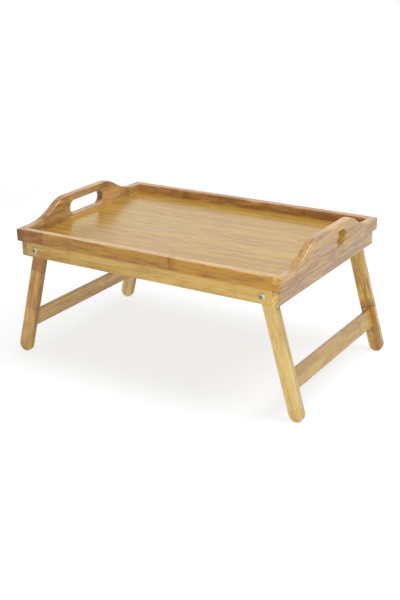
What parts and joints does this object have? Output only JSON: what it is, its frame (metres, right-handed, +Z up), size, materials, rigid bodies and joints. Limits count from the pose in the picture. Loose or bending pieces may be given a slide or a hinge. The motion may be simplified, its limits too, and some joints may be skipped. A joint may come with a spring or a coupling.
{
  "type": "bed tray table",
  "caption": "Shallow wooden bed tray with raised, slotted handle boards, on two splayed leg frames that fold flat into the apron under the tray.",
  "frame": {"origin": "on the floor, under the middle of the tray", "axes": "+X along the tray's long side towards the right handle, +Y from the front rail to the back rail, +Z up"},
  "size_m": [0.5606, 0.35, 0.263],
  "materials": {
    "panel_bamboo": "clear satin lacquer over strip bamboo",
    "rail_bamboo": "clear satin lacquer, strips along the rail",
    "board_bamboo": "clear satin lacquer, strips along the board",
    "apron_bamboo": "clear satin lacquer, strips along the board",
    "end_apron_bamboo": "clear satin lacquer, strips along the board",
    "leg_bamboo": "clear satin lacquer, strips along the leg",
    "stretcher_bamboo": "clear satin lacquer, strips along the bar",
    "dowel_wood": "raw hardwood, hidden in the joints",
    "plated_steel": "nickel-plated steel"
  },
  "bodies": {
    "tray": {"tray_panel": "panel_bamboo", "front_rail": "rail_bamboo", "back_rail": "rail_bamboo", "left_handle_board": "board_bamboo", "right_handle_board": "board_bamboo", "front_apron": "apron_bamboo", "back_apron": "apron_bamboo", "left_apron": "end_apron_bamboo", "right_apron": "end_apron_bamboo", "rail_dowels": "dowel_wood", "apron_dowels": "dowel_wood", "frame_dowels": "dowel_wood", "pivot_bolts": "plated_steel", "spacer_washers": "plated_steel", "nut_washers": "plated_steel", "lock_nuts": "plated_steel"},
    "right_leg_frame": {"right_front_leg": "leg_bamboo", "right_back_leg": "leg_bamboo", "right_stretcher": "stretcher_bamboo", "right_stretcher_dowels": "dowel_wood"},
    "left_leg_frame": {"left_front_leg": "leg_bamboo", "left_back_leg": "leg_bamboo", "left_stretcher": "stretcher_bamboo", "left_stretcher_dowels": "dowel_wood"}
  },
  "joints": [
    {"name": "right_leg_fold", "type": "hinge", "parent": "tray", "child": "right_leg_frame", "pos_m": [0.21628, 0, 0.1995], "axis": [0, 1, 0], "range_deg": [0, 105.4]},
    {"name": "left_leg_fold", "type": "hinge", "parent": "tray", "child": "left_leg_frame", "pos_m": [-0.21628, 0, 0.1995], "axis": [0, -1, 0], "range_deg": [0, 105.4]}
  ]
}
